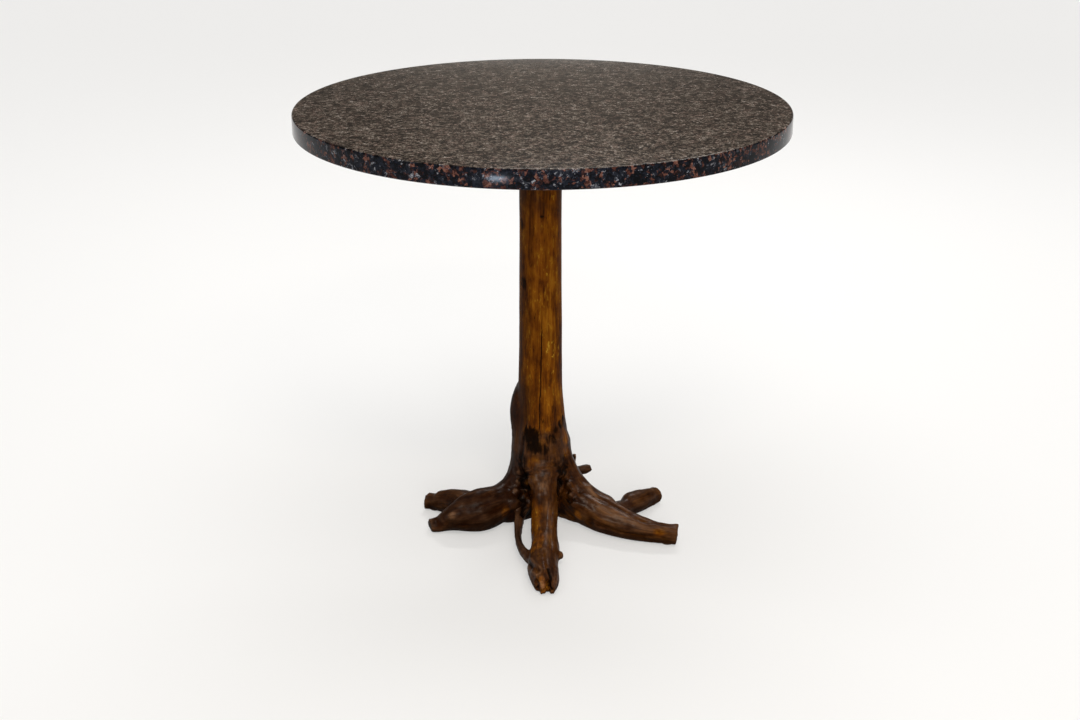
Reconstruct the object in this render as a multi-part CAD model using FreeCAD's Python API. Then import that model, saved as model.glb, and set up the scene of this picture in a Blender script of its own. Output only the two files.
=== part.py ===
import FreeCAD, Part

import math
import os

# Stump pedestal table: a polished stone disc on a debarked trunk that stands on its own roots.
# Frame: +Z up, origin on the floor under the middle of the top, +X to the right of the front,
# +Y towards the back. All sizes are in millimetres and all angles in degrees.

# Overall sizes
TABLE_HEIGHT = 750.0
TOP_DIAMETER = 840.0
TOP_THICKNESS = 32.0
TOP_EDGE_ROUND = 3.0
TOP_UNDER_ROUND = 2.0

# Steel plate that spreads the load of the stone onto the trunk
PLATE_DIAMETER = 280.0
PLATE_THICKNESS = 8.0
PLATE_EDGE_CHAMFER = 1.0

# Silicone dabs that bed the stone on the plate
BEDDING_THICKNESS = 2.0
DAB_COUNT = 4
DAB_DIAMETER = 56.0
DAB_EDGE_DISTANCE = 45.0
DAB_FIRST_ANGLE = 0.0

# Countersunk wood screws that hold the plate to the end grain of the trunk
WOOD_SCREW_COUNT = 4
WOOD_SCREW_EDGE_DISTANCE = 16.0
WOOD_SCREW_FIRST_ANGLE = 0.0
WOOD_SCREW_SHANK = 7.0
WOOD_SCREW_HEAD = 13.0
WOOD_SCREW_LENGTH = 110.0
WOOD_SCREW_POINT = 9.0
WOOD_SCREW_SOCKET_FLATS = 5.0
WOOD_SCREW_SOCKET_DEPTH = 2.6

# Bolts and washers that draw the plate up to threaded inserts in the stone
BOLT_COUNT = 4
BOLT_EDGE_DISTANCE = 27.0
BOLT_FIRST_ANGLE = 45.0
BOLT_DIAMETER = 8.0
BOLT_HEAD_FLATS = 13.0
BOLT_HEAD_HEIGHT = 5.3
BOLT_REACH_IN_INSERT = 14.0
BOLT_HOLE_CLEARANCE = 0.5
WASHER_CLEARANCE = 0.2
WASHER_RIM = 3.8
WASHER_THICKNESS = 1.6
INSERT_WALL = 1.9
INSERT_LENGTH = 18.0
INSERT_HOLE_END_GAP = 1.0

# Felt pads let into the flat under each foot
PAD_DIAMETER = 22.0
PAD_THICKNESS = 3.0
PAD_RECESS = 1.0

# Gap left all round a pin, screw or pad in its hole
FIT_CLEARANCE = 0.1

# Trunk: height, half thickness and middle (x, y) of each cross-section of the flared foot
TRUNK_FOOT = [
    (12.0, 28.0, 0.0, -2.0),
    (22.0, 40.0, 0.0, -2.0),
    (38.0, 46.5, 0.0, -2.0),
    (60.0, 49.0, 0.0, -2.0),
    (90.0, 47.0, 0.0, -2.0),
    (135.0, 43.5, -1.0, -1.0),
    (185.0, 41.5, -2.0, 0.0),
    (245.0, 40.2, -3.5, 0.0),
]
TRUNK_TOP_RADIUS = 36.5
TRUNK_TOP_MIDDLE = (-2.5, 0.0)
TRUNK_STEM_SECTIONS = 6
TRUNK_LUMP = 0.015

# Drying check in the front of the trunk: (x, z) of its foot and head, and the size of its mouth
CHECK_FOOT = (-5.0, 176.0)
CHECK_HEAD = (0.5, 418.0)
CHECK_MOUTH = 2.6
CHECK_DEPTH = 13.0

# Roots and stubs: centre (x, y, z) and half thickness at each station, from inside the crown outwards
LEFT_ROOT = [
    (-26.0, 7.0, 256.0, 7.0),
    (-29.0, 6.0, 240.0, 17.0),
    (-31.5, 5.0, 214.0, 22.0),
    (-32.0, 3.0, 165.0, 22.5),
    (-31.0, -5.0, 115.0, 24.0),
    (-40.0, -24.0, 71.0, 25.5),
    (-74.0, -58.0, 41.0, 31.0),
    (-116.0, -86.0, 33.0, 36.0),
    (-153.0, -92.0, 26.0, 28.0),
    (-178.0, -92.0, 15.0, 18.0),
    (-202.0, -96.0, 9.0, 14.0),
]
LEFT_FORK = [
    (-112.0, -70.0, 33.0, 26.0),
    (-142.0, -48.0, 29.0, 25.0),
    (-167.0, -28.0, 24.0, 22.0),
    (-188.0, -12.0, 16.0, 18.0),
    (-212.0, 0.0, 13.0, 18.0),
]
RIGHT_ROOT = [
    (15.0, 2.0, 172.0, 16.0),
    (26.0, -6.0, 122.0, 24.0),
    (41.0, -20.0, 76.0, 29.0),
    (70.0, -54.0, 40.0, 33.0),
    (114.0, -94.0, 27.0, 30.0),
    (170.0, -126.0, 20.0, 24.0),
    (238.0, -143.0, 15.0, 20.0),
]
RIGHT_FORK = [
    (104.0, -78.0, 24.0, 20.0),
    (142.0, -46.0, 17.0, 18.0),
    (174.0, -14.0, 13.0, 17.0),
    (211.0, 28.0, 11.0, 16.0),
]
FRONT_ROOT = [
    (2.0, 4.0, 152.0, 20.0),
    (3.0, -12.0, 116.0, 27.0),
    (3.0, -42.0, 80.0, 28.0),
    (4.0, -90.0, 48.0, 25.5),
    (4.0, -155.0, 28.0, 22.5),
    (3.0, -220.0, 20.0, 24.0),
    (2.0, -274.0, 18.0, 26.0),
    (6.0, -320.0, 13.0, 21.5),
    (7.0, -337.0, 9.0, 14.0),
]
BACK_ROOT = [
    (0.0, -6.0, 150.0, 20.0),
    (-1.0, 12.0, 116.0, 27.0),
    (-2.0, 42.0, 80.0, 28.0),
    (-5.0, 92.0, 44.0, 26.0),
    (-9.0, 150.0, 24.0, 23.0),
    (-14.0, 216.0, 15.0, 20.0),
]
LOOP_ROOTLET = [
    (-26.0, -58.0, 40.0, 12.0),
    (-41.0, -106.0, 24.0, 8.5),
    (-42.5, -156.0, 19.0, 7.0),
    (-35.0, -204.0, 18.0, 7.5),
    (-19.0, -242.0, 19.0, 10.0),
    (-5.0, -272.0, 20.0, 13.0),
]
SPIKE = [
    (46.0, 14.0, 62.0, 9.0),
    (54.0, 18.0, 80.0, 6.0),
    (58.0, 20.0, 92.0, 4.5),
    (59.0, 20.5, 98.0, 2.5),
]
STUB = [
    (40.0, 12.0, 58.0, 14.0),
    (66.0, 26.0, 61.0, 9.0),
    (84.0, 31.0, 64.0, 8.0),
    (91.0, 32.0, 65.5, 5.0),
]
SIDE_KNOT = [
    (14.0, -226.0, 18.0, 10.0),
    (27.0, -229.0, 20.0, 8.0),
    (35.0, -230.0, 21.0, 5.5),
]
GROWN_PIECES = [
    LEFT_ROOT, LEFT_FORK, RIGHT_ROOT, RIGHT_FORK, FRONT_ROOT, BACK_ROOT,
    LOOP_ROOTLET, SPIKE, STUB, SIDE_KNOT,
]
ROOT_LUMP = 0.05
RING_POINTS = 12

# Roots that stand on the floor, by the name of their pad, and how far in from the end it sits
FEET = {
    "front": (FRONT_ROOT, 62.0),
    "back": (BACK_ROOT, 17.0),
    "left_front": (LEFT_ROOT, 17.0),
    "left_back": (LEFT_FORK, 17.0),
    "right_front": (RIGHT_ROOT, 17.0),
    "right_back": (RIGHT_FORK, 17.0),
}

# Rotted split in the end of the front root
SPLIT_OFFSET = 3.0
SPLIT_WIDTH = 9.0
SPLIT_LENGTH = 30.0
SPLIT_TURN = 9.0

# Corner of the same end that has broken away: its inner side (x), its length and its slant
BREAK_SIDE = -6.0
BREAK_LENGTH = 27.0
BREAK_TURN = 14.0

# Heights and circles that follow from the sizes above
STONE_UNDERSIDE = TABLE_HEIGHT - TOP_THICKNESS
PLATE_TOP = STONE_UNDERSIDE - BEDDING_THICKNESS
PLATE_UNDERSIDE = PLATE_TOP - PLATE_THICKNESS
WOOD_UNDERSIDE = PAD_THICKNESS - PAD_RECESS
BOLT_CIRCLE = PLATE_DIAMETER - 2.0 * BOLT_EDGE_DISTANCE
BOLT_HOLE = BOLT_DIAMETER + 2.0 * BOLT_HOLE_CLEARANCE
WASHER_BORE = BOLT_DIAMETER + 2.0 * WASHER_CLEARANCE
WASHER_OUTSIDE = WASHER_BORE + 2.0 * WASHER_RIM
INSERT_BORE = BOLT_DIAMETER + 2.0 * FIT_CLEARANCE
INSERT_DIAMETER = INSERT_BORE + 2.0 * INSERT_WALL
DAB_CIRCLE = PLATE_DIAMETER - 2.0 * DAB_EDGE_DISTANCE
WOOD_SCREW_CIRCLE = 2.0 * (TRUNK_TOP_RADIUS - WOOD_SCREW_EDGE_DISTANCE)
UP = FreeCAD.Vector(0, 0, 1)


def vector(x, y, z):
    return FreeCAD.Vector(x, y, z)


def on_circle(count, diameter, first_angle):
    """Points (x, y) spaced evenly on a circle about the middle of the table."""
    for i in range(count):
        angle = math.radians(first_angle + 360.0 * i / count)
        yield 0.5 * diameter * math.cos(angle), 0.5 * diameter * math.sin(angle)


def disc(diameter, bottom, top, x=0.0, y=0.0):
    return Part.makeCylinder(0.5 * diameter, top - bottom, vector(x, y, bottom))


def hexagon(flats, bottom, top, x=0.0, y=0.0):
    """An upright six-sided prism, measured across its flats."""
    reach = flats / math.sqrt(3.0)
    corners = []
    for i in range(7):
        angle = math.radians(60.0 * i)
        corners.append(vector(x + reach * math.cos(angle), y + reach * math.sin(angle), bottom))
    return Part.Face(Part.makePolygon(corners)).extrude(vector(0, 0, top - bottom))


def turned(profile):
    """A solid turned about the Z axis from (radius, height) points."""
    points = [vector(radius, 0, height) for radius, height in profile]
    outline = Part.makePolygon(points + points[:1])
    return Part.Face(outline).revolve(vector(0, 0, 0), UP, 360.0)


def moved(shape, x, y, z):
    copy = shape.copy()
    copy.translate(vector(x, y, z))
    return copy


# Grown wood

def ring(centre, along, side, radius, lump, turn):
    """One closed, slightly lumpy cross-section, square to the way the wood grows."""
    across = (side - along * side.dot(along)).normalize()
    over = along.cross(across)
    points = []
    for i in range(RING_POINTS):
        angle = 2.0 * math.pi * i / RING_POINTS
        oval = lump * math.cos(2.0 * angle + turn)
        knobs = 0.6 * lump * math.cos(3.0 * angle - 2.0 * turn)
        reach = radius * (1.0 + oval + knobs)
        points.append(centre + across * (reach * math.cos(angle)) + over * (reach * math.sin(angle)))
    curve = Part.BSplineCurve()
    curve.interpolate(Points=points, PeriodicFlag=True)
    return Part.Wire([curve.toShape()])


def centre_line(stations):
    line = Part.BSplineCurve()
    line.interpolate([vector(x, y, z) for x, y, z, _ in stations])
    return line


def grown(stations):
    """A root or stub: a loft through rings that follow a smooth centre line."""
    line = centre_line(stations)
    chord = line.EndPoint - line.StartPoint
    side = UP.cross(vector(chord.x, chord.y, 0)).normalize()
    rings = []
    for i, (x, y, z, radius) in enumerate(stations):
        centre = vector(x, y, z)
        along = line.tangent(line.parameter(centre))[0]
        rings.append(ring(centre, along, side, radius, ROOT_LUMP, 1.3 * i))
    return Part.makeLoft(rings, True)


def trunk():
    """The stem, lofted from its flared foot up to the sawn end under the plate."""
    sections = list(TRUNK_FOOT)
    foot_height, foot_radius, foot_x, foot_y = TRUNK_FOOT[-1]
    top_x, top_y = TRUNK_TOP_MIDDLE
    for i in range(1, TRUNK_STEM_SECTIONS + 1):
        share = i / TRUNK_STEM_SECTIONS
        height = foot_height + share * (PLATE_UNDERSIDE - foot_height)
        radius = TRUNK_TOP_RADIUS + (1.0 - share) ** 2 * (foot_radius - TRUNK_TOP_RADIUS)
        sections.append((height, radius, foot_x + share * (top_x - foot_x), foot_y + share * (top_y - foot_y)))
    rings = []
    for i, (height, radius, x, y) in enumerate(sections):
        rings.append(ring(vector(x, y, height), UP, vector(1, 0, 0), radius, TRUNK_LUMP, 0.4 * i))
    return Part.makeLoft(rings, True)


def drying_check():
    """The wedge of the long crack that opened in the front of the trunk as it dried."""
    outlines = []
    bark = -TRUNK_FOOT[-1][1]
    outside = 2.0 * bark
    spread = 0.5 * CHECK_MOUTH * (CHECK_DEPTH - bark) / CHECK_DEPTH
    for x, z in (CHECK_FOOT, CHECK_HEAD):
        root = vector(x, bark + CHECK_DEPTH, z)
        left = vector(x - spread, outside, z)
        right = vector(x + spread, outside, z)
        outlines.append(Part.makePolygon([root, left, right, root]))
    return Part.makeLoft(outlines, True, True)


def end_split():
    """The wedge that rot has opened in the end of the front root."""
    x, y, z, radius = FRONT_ROOT[-1]
    x += SPLIT_OFFSET
    tall = 4.0 * radius
    corners = [
        vector(x, y + SPLIT_LENGTH, z - tall),
        vector(x - 0.5 * SPLIT_WIDTH, y - radius, z - tall),
        vector(x + 0.5 * SPLIT_WIDTH, y - radius, z - tall),
    ]
    wedge = Part.Face(Part.makePolygon(corners + corners[:1])).extrude(vector(0, 0, 2.0 * tall))
    wedge.rotate(vector(x, y, z), UP, SPLIT_TURN)
    return wedge


def end_break():
    """The block of wood that has broken off the left corner of the front root."""
    x, y, z, radius = FRONT_ROOT[-1]
    tall = 4.0 * radius
    front = y - radius
    corner = vector(BREAK_SIDE - tall, front - tall, z - 0.5 * tall)
    block = Part.makeBox(tall, tall + BREAK_LENGTH, tall, corner)
    block.rotate(vector(BREAK_SIDE, front + BREAK_LENGTH, z), UP, BREAK_TURN)
    return block


def pad_place(foot):
    """The (x, y) of a foot's pad: in from the end of its root, along the root."""
    stations, from_end = FEET[foot]
    line = centre_line(stations)
    outward = line.tangent(line.LastParameter)[0]
    inward = vector(-outward.x, -outward.y, 0).normalize()
    x, y, _, _ = stations[-1]
    return x + from_end * inward.x, y + from_end * inward.y


def stump_pedestal():
    wood = trunk()
    for stations in GROWN_PIECES:
        wood = wood.fuse(grown(stations))
    wood = wood.cut(drying_check())
    wood = wood.cut(end_split())
    wood = wood.cut(end_break())
    below = Part.makeBox(TOP_DIAMETER, TOP_DIAMETER, TOP_DIAMETER)
    wood = wood.cut(moved(below, -0.5 * TOP_DIAMETER, -0.5 * TOP_DIAMETER, WOOD_UNDERSIDE - TOP_DIAMETER))
    for foot in FEET:
        x, y = pad_place(foot)
        wood = wood.cut(disc(PAD_DIAMETER + 2.0 * FIT_CLEARANCE, 0.0, PAD_THICKNESS, x, y))
    pilot = wood_screw_body(FIT_CLEARANCE)
    for x, y in on_circle(WOOD_SCREW_COUNT, WOOD_SCREW_CIRCLE, WOOD_SCREW_FIRST_ANGLE):
        wood = wood.cut(moved(pilot, x, y, PLATE_TOP))
    return wood


# Stone top and its fixings

def granite_top():
    stone = disc(TOP_DIAMETER, STONE_UNDERSIDE, TABLE_HEIGHT)
    rims = [edge for edge in stone.Edges if len(edge.Vertexes) == 1]
    upper = [edge for edge in rims if edge.BoundBox.ZMin > STONE_UNDERSIDE]
    stone = stone.makeFillet(TOP_EDGE_ROUND, upper)
    rims = [edge for edge in stone.Edges if len(edge.Vertexes) == 1]
    lower = [edge for edge in rims if edge.BoundBox.ZMax < STONE_UNDERSIDE + TOP_UNDER_ROUND]
    stone = stone.makeFillet(TOP_UNDER_ROUND, lower)
    hole_top = STONE_UNDERSIDE + INSERT_LENGTH + INSERT_HOLE_END_GAP
    for x, y in on_circle(BOLT_COUNT, BOLT_CIRCLE, BOLT_FIRST_ANGLE):
        stone = stone.cut(disc(INSERT_DIAMETER + 2.0 * FIT_CLEARANCE, STONE_UNDERSIDE, hole_top, x, y))
    return stone


def mounting_plate():
    half = 0.5 * PLATE_DIAMETER
    plate = turned([
        (0.0, PLATE_UNDERSIDE),
        (half - PLATE_EDGE_CHAMFER, PLATE_UNDERSIDE),
        (half, PLATE_UNDERSIDE + PLATE_EDGE_CHAMFER),
        (half, PLATE_TOP - PLATE_EDGE_CHAMFER),
        (half - PLATE_EDGE_CHAMFER, PLATE_TOP),
        (0.0, PLATE_TOP),
    ])
    sunk = wood_screw_body(FIT_CLEARANCE)
    for x, y in on_circle(WOOD_SCREW_COUNT, WOOD_SCREW_CIRCLE, WOOD_SCREW_FIRST_ANGLE):
        plate = plate.cut(moved(sunk, x, y, PLATE_TOP))
    for x, y in on_circle(BOLT_COUNT, BOLT_CIRCLE, BOLT_FIRST_ANGLE):
        plate = plate.cut(disc(BOLT_HOLE, PLATE_UNDERSIDE, PLATE_TOP, x, y))
    return plate


def wood_screw_body(grow):
    """A countersunk screw hanging from its head at height 0, larger all round by grow."""
    shank = 0.5 * WOOD_SCREW_SHANK + grow
    head = 0.5 * WOOD_SCREW_HEAD + grow
    return turned([
        (0.0, 0.0),
        (head, 0.0),
        (shank, shank - head),
        (shank, WOOD_SCREW_POINT - WOOD_SCREW_LENGTH),
        (0.0, -WOOD_SCREW_LENGTH - grow),
    ])


def wood_screws():
    socket = hexagon(WOOD_SCREW_SOCKET_FLATS, -WOOD_SCREW_SOCKET_DEPTH, 0.0)
    screw = wood_screw_body(0.0).cut(socket)
    places = on_circle(WOOD_SCREW_COUNT, WOOD_SCREW_CIRCLE, WOOD_SCREW_FIRST_ANGLE)
    return Part.makeCompound([moved(screw, x, y, PLATE_TOP) for x, y in places])


def at_bolts(shape):
    places = on_circle(BOLT_COUNT, BOLT_CIRCLE, BOLT_FIRST_ANGLE)
    return Part.makeCompound([moved(shape, x, y, 0.0) for x, y in places])


def stone_inserts():
    top = STONE_UNDERSIDE + INSERT_LENGTH
    bore = disc(INSERT_BORE, STONE_UNDERSIDE, top)
    return at_bolts(disc(INSERT_DIAMETER, STONE_UNDERSIDE, top).cut(bore))


def plate_bolts():
    head_top = PLATE_UNDERSIDE - WASHER_THICKNESS
    head_bottom = head_top - BOLT_HEAD_HEIGHT
    head = hexagon(BOLT_HEAD_FLATS, head_bottom, head_top)
    flats = 0.5 * BOLT_HEAD_FLATS
    corner = BOLT_HEAD_FLATS / math.sqrt(3.0)
    crown = turned([
        (0.0, head_bottom),
        (flats, head_bottom),
        (corner, head_bottom + 0.5 * (corner - flats)),
        (corner, head_top),
        (0.0, head_top),
    ])
    shank = disc(BOLT_DIAMETER, head_top, STONE_UNDERSIDE + BOLT_REACH_IN_INSERT)
    return at_bolts(head.common(crown).fuse(shank))


def plate_washers():
    bottom = PLATE_UNDERSIDE - WASHER_THICKNESS
    bore = disc(WASHER_BORE, bottom, PLATE_UNDERSIDE)
    return at_bolts(disc(WASHER_OUTSIDE, bottom, PLATE_UNDERSIDE).cut(bore))


def bedding_dabs():
    places = on_circle(DAB_COUNT, DAB_CIRCLE, DAB_FIRST_ANGLE)
    return Part.makeCompound([disc(DAB_DIAMETER, PLATE_TOP, STONE_UNDERSIDE, x, y) for x, y in places])


def felt_pad(foot):
    x, y = pad_place(foot)
    return disc(PAD_DIAMETER, 0.0, PAD_THICKNESS, x, y)


def main():
    pieces = {
        "granite_top": granite_top(),
        "stump_pedestal": stump_pedestal(),
        "mounting_plate": mounting_plate(),
        "wood_screws": wood_screws(),
        "stone_inserts": stone_inserts(),
        "plate_bolts": plate_bolts(),
        "plate_washers": plate_washers(),
        "bedding_dabs": bedding_dabs(),
    }
    for foot in FEET:
        pieces["felt_pad_" + foot] = felt_pad(foot)
    os.makedirs("parts", exist_ok=True)
    for name, shape in pieces.items():
        shape.exportStep(os.path.join("parts", name + ".step"))
        print(name, len(shape.Solids), "solids, valid", shape.isValid(), "volume", round(shape.Volume))


main()
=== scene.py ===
import math

import bmesh
import bpy
import numpy as np
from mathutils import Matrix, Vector, geometry, noise


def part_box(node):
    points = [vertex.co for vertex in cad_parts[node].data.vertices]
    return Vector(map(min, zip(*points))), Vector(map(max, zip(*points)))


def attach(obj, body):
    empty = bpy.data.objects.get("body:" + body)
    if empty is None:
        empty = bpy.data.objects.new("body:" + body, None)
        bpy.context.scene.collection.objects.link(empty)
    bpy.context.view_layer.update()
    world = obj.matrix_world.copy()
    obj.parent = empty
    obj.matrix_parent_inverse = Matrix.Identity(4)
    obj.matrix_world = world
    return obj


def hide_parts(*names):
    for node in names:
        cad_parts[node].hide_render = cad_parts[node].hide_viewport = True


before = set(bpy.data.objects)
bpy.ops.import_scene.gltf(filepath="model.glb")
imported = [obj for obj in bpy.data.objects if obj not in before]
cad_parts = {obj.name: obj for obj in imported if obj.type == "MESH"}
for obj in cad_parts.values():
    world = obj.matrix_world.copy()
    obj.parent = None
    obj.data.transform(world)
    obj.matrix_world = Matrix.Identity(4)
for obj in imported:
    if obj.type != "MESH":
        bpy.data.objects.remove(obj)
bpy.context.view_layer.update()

# Stump pedestal table: polished granite disc on a debarked trunk with its own roots.
# Same frame as the CAD: metres, +Z up, front towards -Y. Lists written in mm say so.

mm = 0.001


# Small helpers for pieces

def makePiece(name, bm, smooth=True):
    mesh = bpy.data.meshes.new(name)
    bm.to_mesh(mesh)
    bm.free()
    for face in mesh.polygons:
        face.use_smooth = smooth
    piece = bpy.data.objects.new(name, mesh)
    bpy.context.scene.collection.objects.link(piece)
    return piece


def dress(piece, finish):
    piece.data.materials.clear()
    piece.data.materials.append(finish)


def roundRims(bm, amount, steps):  # bevels the rims of upright discs
    level = 1e-6
    rims = [e for e in bm.edges if abs(e.verts[0].co.z - e.verts[1].co.z) < level and len(e.link_faces) == 2]
    bmesh.ops.bevel(bm, geom=rims, offset=amount, affect="EDGES", segments=steps, profile=0.5, material=-1)


# Small helpers for finishes

def newFinish(name):
    finish = bpy.data.materials.new(name)
    finish.use_nodes = True
    tree = finish.node_tree
    return finish, tree, tree.nodes["Principled BSDF"]


def plug(tree, node, sockets):
    for key, value in sockets.items():
        if isinstance(value, bpy.types.NodeSocket):
            tree.links.new(value, node.inputs[key])
        else:
            node.inputs[key].default_value = value


def add(tree, kind, sockets=None, **settings):
    node = tree.nodes.new(kind)
    for key, value in settings.items():
        setattr(node, key, value)
    plug(tree, node, sockets or {})
    return node


def maths(tree, operation, *values, clamp=False):
    sockets = dict(enumerate(values))
    return add(tree, "ShaderNodeMath", sockets, operation=operation, use_clamp=clamp).outputs[0]


def times(tree, first, second, clamp=False):
    return maths(tree, "MULTIPLY", first, second, clamp=clamp)


def scaled(tree, value, gain, base):  # value times gain, plus base
    return maths(tree, "MULTIPLY_ADD", value, gain, base)


def less(tree, value, share=1.0):  # 1 where value is 0, and 1 - share where it is 1
    return scaled(tree, value, -share, 1.0)


def shifted(tree, operation, sockets):
    return add(tree, "ShaderNodeVectorMath", sockets, operation=operation).outputs[0]


def between(tree, value, low, high):  # 0 below low, 1 above high, soft between
    sockets = {"Value": value, "From Min": low, "From Max": high}
    return add(tree, "ShaderNodeMapRange", sockets, interpolation_type="SMOOTHSTEP").outputs[0]


def ramp(tree, factor, stops):
    node = add(tree, "ShaderNodeValToRGB", {"Fac": factor})
    marks = node.color_ramp.elements
    while len(marks) < len(stops):
        marks.new(1.0)
    for mark, (place, colour) in zip(marks, stops):
        mark.position = place
        mark.color = (*colour, 1.0)
    return node.outputs[0]


def blend(tree, factor, first, second, mode="MIX"):
    node = add(tree, "ShaderNodeMix", data_type="RGBA", blend_type=mode)
    colours = [c if isinstance(c, bpy.types.NodeSocket) else (*c, 1.0) for c in (first, second)]
    plug(tree, node, {0: factor, 6: colours[0], 7: colours[1]})
    return node.outputs[2]


def split(tree, vector):
    return add(tree, "ShaderNodeSeparateXYZ", {"Vector": vector}).outputs


def bumped(tree, height, strength, distance):
    sockets = {"Height": height, "Strength": strength, "Distance": distance}
    return add(tree, "ShaderNodeBump", sockets).outputs[0]


def grains(tree, vector, scale, output="Fac", **sockets):
    return add(tree, "ShaderNodeTexNoise", {"Vector": vector, "Scale": scale, **sockets}).outputs[output]


def cells(tree, vector, scale):  # three random numbers for each mineral grain
    crystals = add(tree, "ShaderNodeTexVoronoi", {"Vector": vector, "Scale": scale})
    return add(tree, "ShaderNodeSeparateColor", {"Color": crystals.outputs["Color"]}).outputs


# Granite top

graniteTop = {
    "segments": 384,
    "edgeRound": 3.0 * mm,
    "underRound": 2.0 * mm,
    "roundSteps": 5,
    # minerals of three sizes, and their share in the lightness
    "crystalsPerMetre": 90,
    "grainsPerMetre": 215,
    "specksPerMetre": 600,
    "crystalShare": 0.28,
    "grainShare": 0.5,
    "speckShare": 0.22,
    "wobblesPerMetre": 190,
    "wobble": 11.0 * mm,
    "seam": (0.02, 0.18),
    "seamShade": 0.6,
    "reddish": (0.6, 0.68),
    "rosyShare": 0.4,
    # how far up or down a face looks where the flats begin
    "flatFacing": (0.5, 0.95),
    "sawnFacing": (-0.6, -0.95),
    "gloss": 0.1,
    "glossSpread": 0.05,
    "sawnRough": 0.75,
    "shine": 0.08,
    # colours from dark to light
    # tan and rosy: the top's lighter colours, with painted light and sheen in them; mica and feldspar: the
    # edge
    "tan": [
        (0.15, (0.003, 0.002, 0.0015)), (0.28, (0.012, 0.008, 0.006)), (0.42, (0.046, 0.034, 0.025)),
        (0.55, (0.092, 0.072, 0.056)), (0.75, (0.17, 0.14, 0.115)), (0.92, (0.34, 0.3, 0.27))],
    "rosy": [(0.15, (0.004, 0.002, 0.002)), (0.42, (0.058, 0.032, 0.025)), (0.75, (0.2, 0.13, 0.105))],
    "mica": [
        (0.3, (0.0008, 0.001, 0.0018)), (0.52, (0.0035, 0.005, 0.0095)),
        (0.78, (0.015, 0.017, 0.024)), (0.94, (0.3, 0.3, 0.32))],
    "feldspar": [(0.25, (0.006, 0.003, 0.003)), (0.5, (0.065, 0.021, 0.014)), (0.8, (0.19, 0.085, 0.06))],
}


def granite():
    look = graniteTop
    finish, tree, shader = newFinish("polishedGranite")
    coordinates = add(tree, "ShaderNodeTexCoord").outputs
    place = coordinates["Object"]
    wobble = grains(tree, place, look["wobblesPerMetre"], "Color", Detail=2.0)
    shift = shifted(tree, "SUBTRACT", {0: wobble, 1: (0.5, 0.5, 0.5)})
    shift = shifted(tree, "SCALE", {0: shift, "Scale": look["wobble"]})
    warped = shifted(tree, "ADD", {0: place, 1: shift})
    crystal = cells(tree, warped, look["crystalsPerMetre"])
    grain = cells(tree, warped, look["grainsPerMetre"])
    speck = cells(tree, place, look["specksPerMetre"])
    sockets = {"Vector": warped, "Scale": look["grainsPerMetre"]}
    border = add(tree, "ShaderNodeTexVoronoi", sockets, feature="DISTANCE_TO_EDGE")
    inside = between(tree, border.outputs["Distance"], *look["seam"])

    light = times(tree, crystal[0], look["crystalShare"])
    light = scaled(tree, grain[0], look["grainShare"], light)
    light = scaled(tree, speck[0], look["speckShare"], light)
    reddish = scaled(tree, crystal[1], 0.5, times(tree, grain[1], 0.5))
    reddish = between(tree, reddish, *look["reddish"])

    # painted light: the top faces get a lighter tan copy of the stone, standing for the light and sheen on
    # the top; brown grains packed close, with dark seams
    packed = times(tree, light, scaled(tree, inside, 1 - look["seamShade"], look["seamShade"]))
    rosy = times(tree, reddish, look["rosyShare"])
    litTop = blend(tree, rosy, ramp(tree, packed, look["tan"]), ramp(tree, packed, look["rosy"]))
    # polished edge: black and navy mica with red feldspar
    rim = blend(tree, reddish, ramp(tree, light, look["mica"]), ramp(tree, light, look["feldspar"]))
    facing = split(tree, coordinates["Normal"])[2]
    flat = between(tree, maths(tree, "ABSOLUTE", facing), *look["flatFacing"])
    sawn = between(tree, facing, *look["sawnFacing"])
    rough = scaled(tree, grain[2], look["glossSpread"], look["gloss"])
    plug(tree, shader, {
        "Base Color": blend(tree, flat, rim, litTop),
        "Roughness": scaled(tree, sawn, look["sawnRough"], rough),
        "Specular IOR Level": look["shine"]})
    return finish


def makeGraniteTop():
    low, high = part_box("granite_top")
    radius = min(high.x, high.y, -low.x, -low.y)
    bm = bmesh.new()
    ring = bmesh.ops.create_circle(bm, cap_ends=True, segments=graniteTop["segments"], radius=radius)
    bmesh.ops.translate(bm, verts=ring["verts"], vec=(0, 0, low.z))
    lifted = bmesh.ops.extrude_face_region(bm, geom=bm.faces[:])
    upper = [v for v in lifted["geom"] if isinstance(v, bmesh.types.BMVert)]
    bmesh.ops.translate(bm, verts=upper, vec=(0, 0, high.z - low.z))
    bmesh.ops.recalc_face_normals(bm, faces=bm.faces)
    for level, amount in ((high.z, graniteTop["edgeRound"]), (low.z, graniteTop["underRound"])):
        rim = [e for e in bm.edges if all(abs(v.co.z - level) < 1e-5 for v in e.verts)]
        bmesh.ops.bevel(
            bm, geom=rim, offset=amount, affect="EDGES",
            segments=graniteTop["roundSteps"], profile=0.5, material=-1)
    piece = makePiece("graniteTop", bm)
    dress(piece, granite())
    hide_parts("granite_top")
    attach(piece, "root")
    print("granite top done")


# Stump: the grown trunk and roots, carved from a merged copy of its CAD mesh.
# In its lists, places, radii, heights and depths are in mm.

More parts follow.
